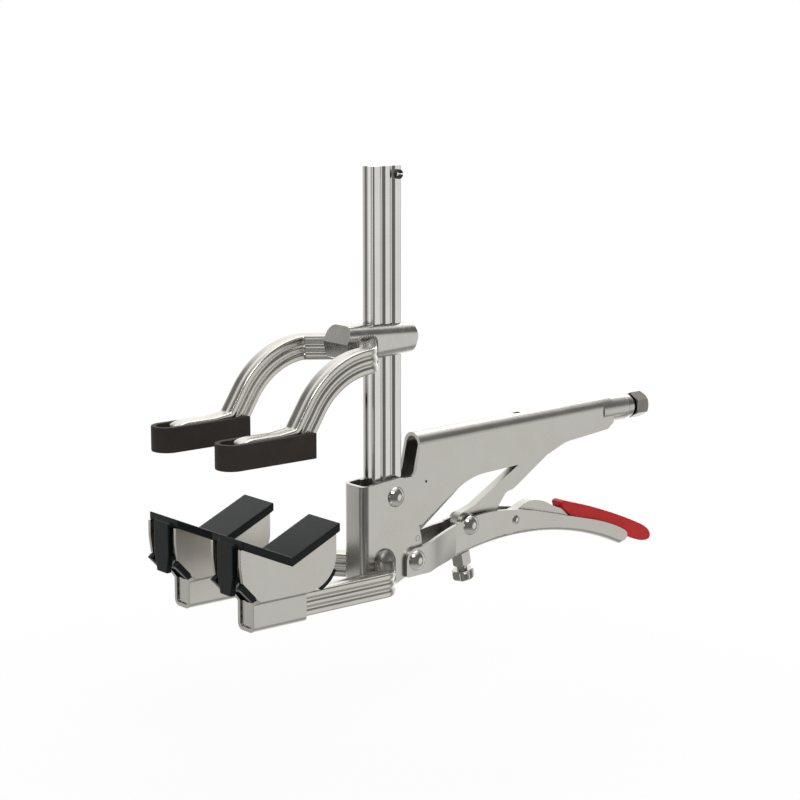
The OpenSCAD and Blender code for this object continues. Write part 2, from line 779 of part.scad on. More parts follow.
// Side outline of the ears: round above the pivot, straight below, running back to the channel
module ear_outline() {
    polygon(concat(
        arc(lever_x, lever_z, ear_r, 180, 80, 14),
        [[lever_x + 5.4, lever_z + 7.3], [30, 21.4], [40, 23.72], [ear_end, 25.3],
         [ear_end, arch_z - 2], [ear_end - 3, 8], [40.9, 6.6], [30.3, 5], [24, 3.4],
         [lever_x - ear_r + 0.6, 3], [lever_x - ear_r, 3.6]]));
}

// The link: a thick plate, wide at its foot, with a boss that fills the lever's channel
module toggle_link() {
    reach = atan2(link_end_z - link_z, link_end_x - link_x);
    color(steel) difference() {
        union() {
            across(-link_t / 2, link_t / 2) {
                translate([link_x, link_z]) circle(7.4);
                translate([link_end_x, link_end_z]) circle(link_end_r);
                polygon(concat(
                    [[link_x - 3.4, link_z + 6.6], [62.6, 32.6], [92.8, 49.4],
                     [link_end_x - link_end_r * sin(reach), link_end_z + link_end_r * cos(reach)],
                     [link_end_x + link_end_r * sin(reach), link_end_z - link_end_r * cos(reach)],
                     [125.4, 58.6], [94, 39]],
                    curve([94, 39], [90, 36.6], [88.6, 38], [86.4, 36.4], 5),
                    curve([86.4, 36.4], [84, 34], [82.6, 31.6], [80, 28.6], 5),
                    [[72, 21.5], [link_x + 2, link_z - 7]]));
            }
            cross_rod(link_x, link_z, 6, lever_in - side_play);
        }
        cross_rod(link_x, link_z, rivet_r + run_gap, lever_out);
    }
}

// Side outline of the release lever from its nose to the end inside the grip
module release_outline() {
    polygon(concat(
        [[80.5, 19.2], [82, 23.4]],
        curve([82, 23.4], [88, 26], [92, 24.2], [97, 26.8], 6),
        curve([97, 26.8], [103, 30.4], [110, 30.2], [117, 26.6], 8),
        curve([117, 26.6], [121, 24.4], [126, 21.6], [136, 19.2], 6),
        [[152, 15.4], [180, 4], [192, -3], [188, -6], [176, 1.4], [150, 11], [128, 16.6]],
        curve([128, 16.6], [112, 19.4], [100, 18.6], [88, 17.2], 6)));
}

module release_lever() {
    half = release_w / 2;
    color(steel) difference() {
        across(-half, half) release_outline();
        across(release_sheet - half, half - release_sheet)
            translate([0, -release_sheet - 0.2]) release_outline();
        cross_rod(release_x, release_z, small_rivet_r + run_gap, half + 1);
    }
}

// The dipped grip: a red skin over the end of the release lever, with a bulb at the tip
module release_grip() {
    color(red) difference() {
        across(-grip_w / 2, grip_w / 2) polygon(concat(
            [[128.6, 21.4], [127.6, 24.8], [130, 25.8], [150.7, 19.4]],
            curve([150.7, 19.4], [166, 14], [178, 9.2], [190, 3.6], 8),
            curve([190, 3.6], [199, -0.4], [203, -4.6], [200, -8], 8),
            curve([200, -8], [196, -9.4], [190, -7.4], [184, -4.6], 6),
            curve([184, -4.6], [174, 0.4], [164, 5], [150, 9.6], 8),
            [[139, 12.6]]));
        across(-release_w / 2, release_w / 2) release_outline();
    }
}

// Places what follows on the stop screw's axis: Z = 0 is the lever's back, minus Z is outwards
module on_stop_axis() {
    translate([arch_x, 0, arch_cz]) rotate([0, -knob_tilt, 0]) translate([0, 0, arch_r]) children();
}

module lock_nut() {
    color(steel) on_stop_axis() translate([0, 0, -nut_h - head_gap]) difference() {
        intersection() {
            cylinder(r = nut_af / 2 / cos(30), h = nut_h, $fn = 6);
            rotate_extrude() polygon([[0, 0], [nut_af / 2 - 0.4, 0], [nut_af / 2 + 0.8, 1],
                                      [nut_af / 2 + 0.8, nut_h], [0, nut_h]]);
        }
        translate([0, 0, -1]) cylinder(r = knob_shank_r + run_gap, h = nut_h + 2);
    }
}

// The stop screw: shank up to the link's boss, bare neck and a scalloped knob
module knob_screw() {
    grip_low = -nut_h - knob_neck - knob_h;
    reach_up = 5.6;
    color(steel) on_stop_axis() {
        translate([0, 0, grip_low + 1]) cylinder(r = knob_shank_r, h = reach_up - grip_low - 1);
        translate([0, 0, grip_low]) intersection() {
            linear_extrude(knob_h) difference() {
                circle(knob_r);
                for (i = [0 : 7])
                    rotate(i * 45) translate([knob_r + 0.9, 0]) circle(1.8);
            }
            rotate_extrude() polygon([[0, 0], [knob_r - 1, 0], [knob_r, 1], [knob_r, knob_h - 1],
                                      [knob_r - 1, knob_h], [0, knob_h]]);
        }
    }
}

// The opening spring: close-wound coils with a hook at each end
module tension_spring() {
    body_l = (coils - 1) * coil_pitch;
    color(bright) translate([spring_pin_x, 0, spring_pin_z]) rotate([0, 90 - spring_angle, 0]) {
        translate([0, 0, coil_start]) rotate_extrude() {
            for (i = [0 : coils - 1])
                translate([coil_r - wire_r, i * coil_pitch]) circle(wire_r, $fn = 16);
        }
        for (z = [coil_start, coil_start + body_l])
            translate([0, 0, z]) rotate([0, 90, 0]) cylinder(r = wire_r, h = coil_r - wire_r);
        translate([0, 0, spring_pin_r + wire_r]) cylinder(r = wire_r, h = coil_start - spring_pin_r - wire_r);
        rotate([90, 0, 0]) rotate([0, 0, -160]) rotate_extrude(angle = 250)
            translate([spring_pin_r + wire_r + 0.15, 0]) circle(wire_r, $fn = 16);
        translate([0, 0, coil_start + body_l]) cylinder(r = wire_r, h = spring_len - coil_start - body_l);
    }
}

handle_channel();
rail();
stop_pin();
main_rivet();
thread_bush();
adjusting_screw();
slide_collar();
upper_arm_near();
upper_arm_far();
foot_cap_near();
foot_cap_far();
jaw_housing();
lower_arm_near();
lower_arm_far();
v_block_near();
v_block_far();
v_pad_near();
v_pad_far();
lever_rivet();
spring_pin();
hand_lever();
link_rivet();
toggle_link();
release_lever();
release_grip();
release_rivet();
lock_nut();
knob_screw();
tension_spring();
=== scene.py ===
"""Locking pipe pliers, dressed around the CAD frame.

Each CAD solid is shown by one finished piece. The bars, spring, pads and grip get smoother
meshes of their own; weld seams and painted shade in a punch mark are added. Lengths on the part
are in millimetres until they are multiplied by MM, and those of the stage are in metres.
"""
import json
import math

import bmesh
import bpy
from mathutils import Matrix, Vector


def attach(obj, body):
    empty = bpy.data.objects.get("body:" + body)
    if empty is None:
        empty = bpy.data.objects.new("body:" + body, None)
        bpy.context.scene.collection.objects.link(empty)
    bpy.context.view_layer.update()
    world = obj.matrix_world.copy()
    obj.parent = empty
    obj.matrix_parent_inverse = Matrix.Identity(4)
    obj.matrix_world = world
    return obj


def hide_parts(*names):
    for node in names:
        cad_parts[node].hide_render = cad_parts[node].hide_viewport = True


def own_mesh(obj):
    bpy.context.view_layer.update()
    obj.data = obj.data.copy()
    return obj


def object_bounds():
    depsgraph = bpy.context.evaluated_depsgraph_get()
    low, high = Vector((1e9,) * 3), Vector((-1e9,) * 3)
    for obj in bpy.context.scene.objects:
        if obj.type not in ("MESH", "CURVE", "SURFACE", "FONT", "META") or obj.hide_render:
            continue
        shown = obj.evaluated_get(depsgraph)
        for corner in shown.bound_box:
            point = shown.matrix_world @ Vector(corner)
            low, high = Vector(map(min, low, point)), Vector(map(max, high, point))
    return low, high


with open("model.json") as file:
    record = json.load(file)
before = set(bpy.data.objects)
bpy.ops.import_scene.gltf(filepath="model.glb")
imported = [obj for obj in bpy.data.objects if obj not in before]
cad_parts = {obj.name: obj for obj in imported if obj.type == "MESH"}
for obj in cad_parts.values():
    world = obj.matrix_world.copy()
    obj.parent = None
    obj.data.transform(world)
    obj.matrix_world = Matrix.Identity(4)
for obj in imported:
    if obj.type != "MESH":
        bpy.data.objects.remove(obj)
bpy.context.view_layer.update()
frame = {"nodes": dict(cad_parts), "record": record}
nodes = frame["nodes"]
MM = 0.001
body_of = {n: b for b, members in frame["record"]["behaviour"]["bodies"].items() for n in members}
slot_of = {s["node"]: s["material_slot"] for s in frame["record"]["subparts"]}


# Colour and node helpers

def linear(hex_colour):
    """An sRGB hex colour as linear RGBA."""
    out = []
    for i in (1, 3, 5):
        c = int(hex_colour[i:i + 2], 16) / 255
        out.append(c / 12.92 if c <= 0.04045 else ((c + 0.055) / 1.055) ** 2.4)
    return (*out, 1.0)


def add(tree, kind, links=None, values=None, **settings):
    """One node with its settings, its socket values and the links into it."""
    node = tree.nodes.new(kind)
    for key, value in settings.items():
        setattr(node, key, value)
    for key, value in (values or {}).items():
        node.inputs[key].default_value = value
    for key, source in (links or {}).items():
        tree.links.new(source, node.inputs[key])
    return node


def ramp(tree, source, deep, light):
    """A drift between two hex colours, led by source."""
    node = add(tree, "ShaderNodeValToRGB", {"Fac": source})
    for element, place, colour in zip(node.color_ramp.elements, (0.3, 0.7), (deep, light)):
        element.position = place
        element.color = linear(colour)
    return node.outputs["Color"]


def new_material(name):
    made = bpy.data.materials.new(name)
    made.use_nodes = True
    made.node_tree.nodes.clear()
    return made, made.node_tree


def metal(name, deep, light, rough, grain=(1, 1, 1), grain_mm=0.5, bump_mm=0.004, spread=0.06,
          patch_mm=14):
    """A plated or drawn metal: colour drifts over patches, roughness follows a stretched grain.

    grain stretches the fine pattern: a small number along an axis draws it out along that axis.
    grain_mm is coarser than on real plating, so that the grain shows in a render.
    """
    made, tree = new_material(name)
    place = add(tree, "ShaderNodeTexCoord").outputs["Object"]
    patches = add(tree, "ShaderNodeTexNoise", {"Vector": place},
                  {"Scale": 1 / (patch_mm * MM), "Detail": 3, "Roughness": 0.55})
    drawn = add(tree, "ShaderNodeMapping", {"Vector": place}, {"Scale": grain})
    fine = add(tree, "ShaderNodeTexNoise", {"Vector": drawn.outputs["Vector"]},
               {"Scale": 1 / (grain_mm * MM), "Detail": 4, "Roughness": 0.6})
    colour = ramp(tree, patches.outputs["Fac"], deep, light)
    mixed = add(tree, "ShaderNodeMath", {0: patches.outputs["Fac"], 1: fine.outputs["Fac"]},
                operation="ADD")
    roughness = add(tree, "ShaderNodeMapRange", {"Value": mixed.outputs["Value"]},
                    {"From Min": 0.7, "From Max": 1.3, "To Min": rough - spread,
                     "To Max": rough + spread})
    bump = add(tree, "ShaderNodeBump", {"Height": fine.outputs["Fac"]},
               {"Strength": 1.0, "Distance": bump_mm * MM})
    shader = add(tree, "ShaderNodeBsdfPrincipled",
                 {"Base Color": colour, "Roughness": roughness.outputs["Result"],
                  "Normal": bump.outputs["Normal"]},
                 {"Metallic": 1.0})
    add(tree, "ShaderNodeOutputMaterial", {"Surface": shader.outputs["BSDF"]})
    return made


def moulded(name, deep, light, rough, grain_mm, bump_mm, coat=0.0, coat_rough=0.1, spread=0.05,
            ior=1.5):
    """A moulded rubber or plastic: faint colour drift, and a grain in the gloss and surface."""
    made, tree = new_material(name)
    place = add(tree, "ShaderNodeTexCoord").outputs["Object"]
    patches = add(tree, "ShaderNodeTexNoise", {"Vector": place},
                  {"Scale": 1 / (9 * MM), "Detail": 3, "Roughness": 0.5})
    fine = add(tree, "ShaderNodeTexNoise", {"Vector": place},
               {"Scale": 1 / (grain_mm * MM), "Detail": 3, "Roughness": 0.6})
    colour = ramp(tree, patches.outputs["Fac"], deep, light)
    roughness = add(tree, "ShaderNodeMapRange", {"Value": fine.outputs["Fac"]},
                    {"From Min": 0.3, "From Max": 0.7, "To Min": rough - spread,
                     "To Max": rough + spread})
    bump = add(tree, "ShaderNodeBump", {"Height": fine.outputs["Fac"]},
               {"Strength": 1.0, "Distance": bump_mm * MM})
    shader = add(tree, "ShaderNodeBsdfPrincipled",
                 {"Base Color": colour, "Roughness": roughness.outputs["Result"],
                  "Normal": bump.outputs["Normal"]},
                 {"Metallic": 0.0, "IOR": ior, "Coat Weight": coat, "Coat Roughness": coat_rough})
    add(tree, "ShaderNodeOutputMaterial", {"Surface": shader.outputs["BSDF"]})
    return made


# Finishes

# Satin nickel over pressed sheet: warm grey, soft highlights, a faint even texture
satin_nickel = metal("satin_nickel_on_pressed_steel", "#bfbdb7", "#c9c7c2", 0.3,
                     grain_mm=0.5, bump_mm=0.002, spread=0.04, patch_mm=22)
# Bright nickel over cold-drawn rail: sharp stripes of light, fine lines along the bar
bright_rail = metal("bright_nickel_on_drawn_rail", "#d2d1ce", "#dad9d6", 0.13,
                    grain=(1, 1, 0.02), grain_mm=0.4, bump_mm=0.001, spread=0.03, patch_mm=24)
# The same plating over bent bar: softer stripes of light, without the lines
bright_arm = metal("bright_nickel_on_bent_bar", "#c6c3bd", "#cfccc6", 0.25,
                   grain_mm=0.6, bump_mm=0.001, spread=0.04, patch_mm=18)
# Forged collar: the plating follows a coarser blasted surface
forged = metal("nickel_on_forged_collar", "#bfbdb8", "#cac8c4", 0.26,
               grain_mm=1.4, bump_mm=0.02, spread=0.06, patch_mm=5)
# Cold-headed rivets, tumbled and plated: nearly a mirror
polished = metal("polished_nickel_rivet_head", "#cfccc8", "#d8d5d1", 0.09,
                 grain_mm=0.4, bump_mm=0.0004, spread=0.02)
# Turned hardware: plated, a little glossier than the sheet
turned = metal("plated_turned_steel", "#b8b6b1", "#c3c1bd", 0.22, grain_mm=0.3, bump_mm=0.002,
               spread=0.04)
# Heat-treated screw under thin plating: darker and glossier than the sheet
dark_steel = metal("dark_heat_treated_screw", "#76726c", "#827e78", 0.18, grain_mm=0.4,
                   bump_mm=0.001, spread=0.03)
# Weld metal under the plating: duller than the sheet beside it
weld_metal = metal("plated_weld_seam", "#8c8a85", "#9c9a95", 0.42, grain_mm=0.9, bump_mm=0.02)
# Nitrile-like moulded rubber: black with a green cast and a satin skin
pad_rubber = moulded("satin_black_moulded_rubber", "#070f10", "#0a1314", 0.46, 0.35, 0.003,
                     ior=1.32)
# Matt moulded caps: dark brown-grey, dry surface
cap_rubber = moulded("matt_brown_black_moulded_cap", "#241d19", "#2b231e", 0.75, 0.4, 0.004)
# Plastisol dip: glossy red skin, slightly wavy where it ran down
dipped_red = moulded("glossy_red_dipped_vinyl", "#b4030b", "#c1060e", 0.36, 5.0, 0.02,
                     coat=0.08, coat_rough=0.12, spread=0.03, ior=1.38)
# Dark metal: painted shade where it lies on a thin disc at the bottom of the punch mark; the stop
# pin gets the same colour too, and shows as a dark ring
punch_shade_and_dark_pin = metal("shadowed_punch_mark", "#4a4844", "#55524d", 0.5)


# Pieces

def finished(name, mesh_object, body, finish, slot, *replaced):
    """Gives a piece its finish and body, and hides the CAD nodes that it stands for. The slot is
    not used.
    """
    mesh_object.data.materials.clear()
    mesh_object.data.materials.append(finish)
    for face in mesh_object.data.polygons:
        face.material_index = 0
    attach(mesh_object, body)
    if replaced:
        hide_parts(*replaced)
    return mesh_object


def new_object(name, mesh):
    made = bpy.data.objects.new(name, mesh)
    bpy.context.scene.collection.objects.link(made)
    return made


def as_mesh(source, name):
    """The source with its modifiers applied, as a new plain mesh object; the source goes."""
    bpy.context.view_layer.update()
    shape = source.evaluated_get(bpy.context.evaluated_depsgraph_get())
    mesh = bpy.data.meshes.new_from_object(shape)
    mesh.name = name
    bpy.data.objects.remove(source)
    return new_object(name, mesh)


def all_smooth(made):
    made.data.polygons.foreach_set("use_smooth", [True] * len(made.data.polygons))
    return made


def smooth_by_angle(made, degrees):
    all_smooth(made).data.set_sharp_from_angle(angle=math.radians(degrees))
    return made


def turned_to(direction):
    """The turn that takes +Z to a direction."""
    return Vector((0, 0, 1)).rotation_difference(Vector(direction)).to_matrix().to_4x4()


def merged(node, name):
    """A working copy of a CAD node's mesh with its corners joined and its flat faces made one."""
    mesh = nodes[node].data.copy()
    work = bmesh.new()
    work.from_mesh(mesh)
    bmesh.ops.remove_doubles(work, verts=work.verts, dist=2e-6)
    bmesh.ops.dissolve_limit(work, angle_limit=math.radians(0.4), verts=work.verts,
                             edges=work.edges)
    work.to_mesh(mesh)
    work.free()
    return new_object(name, mesh)


EDGE_ANGLE = 32  # edges that turn by more than this are rounded, and stay crisp in the light


def rounded(node, name, edge_mm):
    """A CAD node's solid with its edges rounded and its flat faces kept flat in the light."""
    start = merged(node, name + "_start")
    if edge_mm:
        bevel = start.modifiers.new("edges", "BEVEL")
        bevel.width = edge_mm * MM
        bevel.segments = 2
        bevel.limit_method = "ANGLE"
        bevel.angle_limit = math.radians(EDGE_ANGLE)
        bevel.use_clamp_overlap = True
        bevel.miter_outer = "MITER_ARC"
    made = smooth_by_angle(as_mesh(start, name + "_rounded"), EDGE_ANGLE)
    weigh = made.modifiers.new("flat_faces", "WEIGHTED_NORMAL")
    weigh.keep_sharp = True
    weigh.weight = 90
    return as_mesh(made, name)


# Each piece that keeps its CAD shape: its finish, and how far its edges are rounded
EDGES = {
    "handle_channel": (satin_nickel, 0.35), "stop_pin": (punch_shade_and_dark_pin, 0.1),
    "main_rivet": (polished, 0), "thread_bush": (turned, 0.4),
    "adjusting_screw": (dark_steel, 0.3), "slide_collar": (forged, 0.9),
    "foot_cap_near": (cap_rubber, 0.5), "foot_cap_far": (cap_rubber, 0.5),
    "jaw_housing": (satin_nickel, 0.4), "v_block_near": (satin_nickel, 0.7),
    "v_block_far": (satin_nickel, 0.7), "lever_rivet": (polished, 0),
    "spring_pin": (turned, 0.25), "hand_lever": (satin_nickel, 0.35), "link_rivet": (polished, 0),
    "toggle_link": (satin_nickel, 0.4), "release_lever": (satin_nickel, 0.3),
    "release_rivet": (polished, 0), "lock_nut": (turned, 0.25), "knob_screw": (turned, 0.4),
}
for node, (finish, edge) in EDGES.items():
    piece = rounded(node, node + "_finished", edge)
    finished(piece.name, piece, body_of[node], finish, slot_of[node], node)


# Drawn bars: one smooth section carried along each bar's path

class Track:
    """Stations along a bar: a place, the way ahead and the way up, in millimetres."""

    def __init__(self, at, ahead, up):
        self.at, self.ahead, self.up = Vector(at), Vector(ahead).normalized(), Vector(up)
        self.stations = [(self.at.copy(), self.ahead.copy(), self.up.copy())]

    def run(self, length, steps):
        """Straight on."""
        start = self.at.copy()
        for i in range(1, steps + 1):
            self.at = start + self.ahead * (length * i / steps)
            self.stations.append((self.at.copy(), self.ahead.copy(), self.up.copy()))

    def bend(self, towards, radius, degrees, steps):
        """Round a centre that lies one radius away, towards a direction square to the way."""
        centre = self.at + Vector(towards).normalized() * radius
        axis = self.ahead.cross(Vector(towards)).normalized()
        arm, ahead, up = self.at - centre, self.ahead.copy(), self.up.copy()
        for i in range(1, steps + 1):
            turn = Matrix.Rotation(math.radians(degrees) * i / steps, 3, axis)
            self.at, self.ahead, self.up = centre + turn @ arm, turn @ ahead, turn @ up
            self.stations.append((self.at.copy(), self.ahead.copy(), self.up.copy()))


def fluted_section(broad, thick, corner, depth, half_width):
    """Points round a bar's section, as (across, up).

    It has two soft grooves on each broad side and one on each narrow side.
    """
    def groove(place, middle, width, deep):
        off = abs(place - middle)
        return deep * math.cos(math.pi / 2 * off / width) ** 2 if off < width else 0

    half = []  # the first broad side, a corner, a narrow side and the next corner
    span = broad / 2 - corner
    for i in range(41):
        up = -span + 2 * span * i / 40
        cut = groove(up, broad / 6, half_width, depth) + groove(up, -broad / 6, half_width, depth)
        half.append((thick / 2 - cut, up))
    for i in range(1, 7):
        turn = math.pi / 2 * i / 7
        half.append((thick / 2 - corner + corner * math.cos(turn),
                     span + corner * math.sin(turn)))
    side = thick / 2 - corner
    for i in range(17):
        across = side - 2 * side * i / 16
        cut = groove(across, 0, side * 0.8, depth * 0.6)
        half.append((across, broad / 2 - cut))
    for i in range(1, 7):
        turn = math.pi / 2 * i / 7
        half.append((-thick / 2 + corner - corner * math.sin(turn),
                     span + corner * math.cos(turn)))
    return half + [(-x, -z) for x, z in half]


def carried(name, section, stations, wall=None, tip=None):
    """A bar: the section at each station.

    wall cuts the first end flush at that Y. tip reshapes the height of a point by its X.
    """
    mesh = bpy.data.meshes.new(name)
    points, faces, n = [], [], len(section)
    last = len(stations) - 1
    for i, (at, ahead, up) in enumerate(stations):
        side = up.cross(ahead)
        for across, rise in section:
            if tip:
                rise = tip(at.x, rise)
            p = at + side * across + up * rise
            if i == 0 and wall is not None:
                p = p + ahead * ((wall - p.y) / ahead.y)
            points.append(p * MM)
        if i:
            for k in range(n):
                a, b = (i - 1) * n + k, (i - 1) * n + (k + 1) % n
                faces.append((a, b, b + n, a + n))
    faces += [tuple(range(n - 1, -1, -1)), tuple(last * n + k for k in range(n))]
    mesh.from_pydata(points, [], faces)
    made = new_object(name, mesh)
    work = bmesh.new()
    work.from_mesh(mesh)
    bmesh.ops.recalc_face_normals(work, faces=work.faces)
    work.to_mesh(mesh)
    work.free()
    return smooth_by_angle(made, 36)


def across_copy(source, name):
    """The far-side mirror image of a near piece."""
    mesh = source.data.copy()
    mesh.transform(Matrix.Diagonal((1, -1, 1, 1)))
    mesh.flip_normals()
    return new_object(name, mesh)


# The arms follow the CAD solids that they stand for, with softer grooves
ARM_Y, ARM_H, ARM_T = -27.9, 13.0, 9.5
CORNER, FLUTE_HALF = 1.3, 1.9
TURN_C, TURN_S = 0.6, 0.8  # cosine and sine of the stub's turn, and of the sweep
BEND_R, BEND = 6.5, math.degrees(math.atan2(TURN_S, TURN_C))
ANKLE_R, ANKLE = 9.0, math.degrees(math.atan2(0.8432, 0.5376))
SWEEP_R, SHIN = 43.5, 13.3
FOOT_FLAT, TIP_L = 22.7, 8.0
TIP_X, HEEL_X = -113.4, -82.7
TOP_CUT, TIP_CUT = 1.0, 3.4  # how far a foot's top is lowered, along it and at its tip
UPPER_BEND, LOWER_BEND = (-34.6, ARM_Y, 127.0), (-23.0, ARM_Y, 8.5)
LOWER_L = 85.5
COLLAR_WALL, HOUSING_WALL = -10.0, -8.9
arm_section = fluted_section(ARM_H, ARM_T, CORNER, 0.55, FLUTE_HALF)


def wall_to_bend(bend_at, ahead, up, wall):
    """A track that starts on the wall, runs out along the stub and bends until it looks ahead."""
    inward = Vector((0, 1, 0))
    back = -Vector(ahead)
    start = Vector(bend_at) + back * (BEND_R * TURN_S) + inward * (BEND_R * (1 - TURN_C))
    way = back * TURN_C + inward * TURN_S
    reach = (wall - start.y) / way.y
    track = Track(start + way * reach, -way, up)
    track.run(reach, 12)
    track.bend(Vector(ahead) * TURN_S + inward * TURN_C, BEND_R, BEND, 12)
    return track


def foot_tip(x, rise):
    """The flattened top of a foot and its blunt tip; the underside stays level."""
    top = ARM_H / 2
    if x > HEEL_X:
        return rise
    lower = TOP_CUT * min(1, (HEEL_X - x) / TIP_L)
    if x < TIP_X + TIP_L:
        t = min(1, (TIP_X + TIP_L - x) / TIP_L)
        lower += TIP_CUT * (1 - math.sqrt(max(0, 1 - t * t)))
    return -top + (rise + top) * (2 * top - lower) / (2 * top)


def arm_pair(name, body, stations, wall, tip=None):
    """The near arm of a fork and its mirror image."""
    near_arm = carried(name + "_near_finished", arm_section, stations, wall, tip)
    far_arm = across_copy(near_arm, name + "_far_finished")
    finished(near_arm.name, near_arm, body, bright_arm, "bright_bar", name + "_near")
    finished(far_arm.name, far_arm, body, bright_arm, "bright_bar", name + "_far")


slope = math.atan2(0.07584, 0.99712)  # the upper arms leave the collar a little downhill
forward = Vector((-math.cos(slope), 0, -math.sin(slope)))
above = Vector((-math.sin(slope), 0, math.cos(slope)))
track = wall_to_bend(UPPER_BEND, forward, above, COLLAR_WALL)
track.bend(-track.up, SWEEP_R, BEND, 56)
track.run(SHIN, 6)
track.bend(track.up, ANKLE_R, ANKLE, 16)
track.run(FOOT_FLAT, 12)
track.run(TIP_L, 14)
arm_pair("upper_arm", "slide_arm", track.stations, COLLAR_WALL, foot_tip)

track = wall_to_bend(LOWER_BEND, (-1, 0, 0), (0, 0, 1), HOUSING_WALL)
track.run(LOWER_L, 30)
arm_pair("lower_arm", "jaw", track.stations, HOUSING_WALL)

RAIL_LOW, RAIL_TOP, RAIL_W, RAIL_T = 34, 222, 19.5, 9.5
track = Track((0, 0, RAIL_LOW), (0, 0, 1), (1, 0, 0))
track.run(RAIL_TOP - RAIL_LOW, 60)
rail = carried("rail_finished", fluted_section(RAIL_W, RAIL_T, CORNER, 0.85, FLUTE_HALF),
               track.stations)
finished(rail.name, rail, "handle", bright_rail, "bright_bar", "rail")


# Moulded and dipped skins: the CAD skin made even, with its edges settled round

def softened(node, voxel_mm, passes, finish):
    """A CAD node's skin as one even mesh with its edges settled round."""
    soft = merged(node, node + "_start")
    even = soft.modifiers.new("even", "REMESH")
    even.mode = "VOXEL"
    even.voxel_size = voxel_mm * MM
    settle = soft.modifiers.new("settle", "SMOOTH")
    settle.factor = 0.5
    settle.iterations = passes
    made = all_smooth(as_mesh(soft, node + "_finished"))
    finished(made.name, made, body_of[node], finish, slot_of[node], node)


softened("release_grip", 0.42, 14, dipped_red)
softened("v_pad_near", 0.4, 6, pad_rubber)
softened("v_pad_far", 0.4, 6, pad_rubber)


# Repeats made with Geometry Nodes: the spring's coils and the ripples of the weld seams

def node_group(name, *sockets):
    """An empty geometry group with geometry in and out, and the named float inputs."""
    group = bpy.data.node_groups.new(name, "GeometryNodeTree")
    group.interface.new_socket("Geometry", in_out="INPUT", socket_type="NodeSocketGeometry")
    keys = {}
    for socket in sockets:
        made = group.interface.new_socket(socket, in_out="INPUT", socket_type="NodeSocketFloat")
        keys[socket] = made.identifier
    group.interface.new_socket("Geometry", in_out="OUTPUT", socket_type="NodeSocketGeometry")
    return group, add(group, "NodeGroupInput"), keys


def coil_group(finish):
    """Coils along Z: turns, radius to the wire's middle, height and wire radius."""
    group, given, keys = node_group("coils_along_z", "Turns", "Radius", "Height", "Wire")
    line = add(group, "GeometryNodeCurveSpiral",
               {"Rotations": given.outputs["Turns"], "Start Radius": given.outputs["Radius"],
                "End Radius": given.outputs["Radius"], "Height": given.outputs["Height"]},
               {"Resolution": 26})
    ring = add(group, "GeometryNodeCurvePrimitiveCircle", {"Radius": given.outputs["Wire"]},
               {"Resolution": 10})
    tube = add(group, "GeometryNodeCurveToMesh",
               {"Curve": line.outputs["Curve"], "Profile Curve": ring.outputs["Curve"]},
               {"Fill Caps": True})
    real = add(group, "GeometryNodeRealizeInstances", {"Geometry": tube.outputs["Mesh"]})
    dressed = add(group, "GeometryNodeSetMaterial", {"Geometry": real.outputs["Geometry"]},
                  {"Material": finish})
    add(group, "NodeGroupOutput", {"Geometry": dressed.outputs["Geometry"]})
    return group, keys


def ripple_group(finish):
    """Uneven drops laid along an edge path: their size and the step between them."""
    group, given, keys = node_group("weld_ripples", "Size", "Step")
    line = add(group, "GeometryNodeMeshToCurve", {"Mesh": given.outputs["Geometry"]})
    spaced = add(group, "GeometryNodeResampleCurve",
                 {"Curve": line.outputs["Curve"], "Length": given.outputs["Step"]}, mode="LENGTH")
    drop = add(group, "GeometryNodeMeshUVSphere", {"Radius": given.outputs["Size"]},
               {"Segments": 20, "Rings": 12})
    jitter = add(group, "FunctionNodeRandomValue", data_type="FLOAT_VECTOR")
    jitter.inputs[0].default_value = (0.85, 0.85, 0.85)
    jitter.inputs[1].default_value = (1.12, 1.12, 1.12)
    jitter.inputs["Seed"].default_value = 0
    laid = add(group, "GeometryNodeInstanceOnPoints",
               {"Points": spaced.outputs["Curve"], "Instance": drop.outputs["Mesh"],
                "Scale": jitter.outputs[0]})
    real = add(group, "GeometryNodeRealizeInstances", {"Geometry": laid.outputs["Instances"]})
    dressed = add(group, "GeometryNodeSetMaterial", {"Geometry": real.outputs["Geometry"]},
                  {"Material": finish})
    add(group, "NodeGroupOutput", {"Geometry": dressed.outputs["Geometry"]})
    return group, keys


def repeated(name, group, keys, values, points=((0, 0, 0), (0, 0, 1))):
    """Runs a geometry group on an edge path and returns its plain mesh."""
    mesh = bpy.data.meshes.new(name + "_path")
    links = [(i, i + 1) for i in range(len(points) - 1)]
    mesh.from_pydata([Vector(p) * MM for p in points], links, [])
    start = new_object(name + "_path", mesh)
    maker = start.modifiers.new("repeat", "NODES")
    maker.node_group = group
    for key, value in values.items():
        maker[keys[key]] = value
    return all_smooth(as_mesh(start, name))


def wire(name, points, radius):
    """A round wire through the points, with closed ends."""
    stations = []
    for i, p in enumerate(points):
        a, b = Vector(points[max(i - 1, 0)]), Vector(points[min(i + 1, len(points) - 1)])
        ahead = (b - a).normalized()
        stations.append((Vector(p), ahead, ahead.cross(Vector((0, 1, 0))).normalized()))
    ring = [(radius * math.cos(math.tau * k / 12), radius * math.sin(math.tau * k / 12))
            for k in range(12)]
    return carried(name, ring, stations)


def joined(name, *parts):
    """Several meshes as one piece."""
    work = bmesh.new()
    for part in parts:
        part.data.transform(part.matrix_world)
        work.from_mesh(part.data)
    mesh = bpy.data.meshes.new(name)
    work.to_mesh(mesh)
    work.free()
    for part in parts:
        bpy.data.objects.remove(part)
    made = new_object(name, mesh)
    return smooth_by_angle(made, 50)


# Spring: a loose hook round the jaw's pin, close coils, and a hook to the tab under the ridge
COIL_R, WIRE_R, COIL_L, COIL_START = 3.0, 0.52, 46, 7.2
HOOK_R, HOOK_SLACK = 2.7, 1  # the hook hangs past its pin, clear of it at the jaw's limits
pin, tab = Vector((17.2, 0, 23.0)), Vector((92.0, 0, 75.245))
along = (tab - pin).normalized()
over = Vector((-along.z, 0, along.x))


def on_spring(length, rise=0):
    """A point by its length from the pin along the spring and its rise above that line."""
    return pin + along * length + over * rise


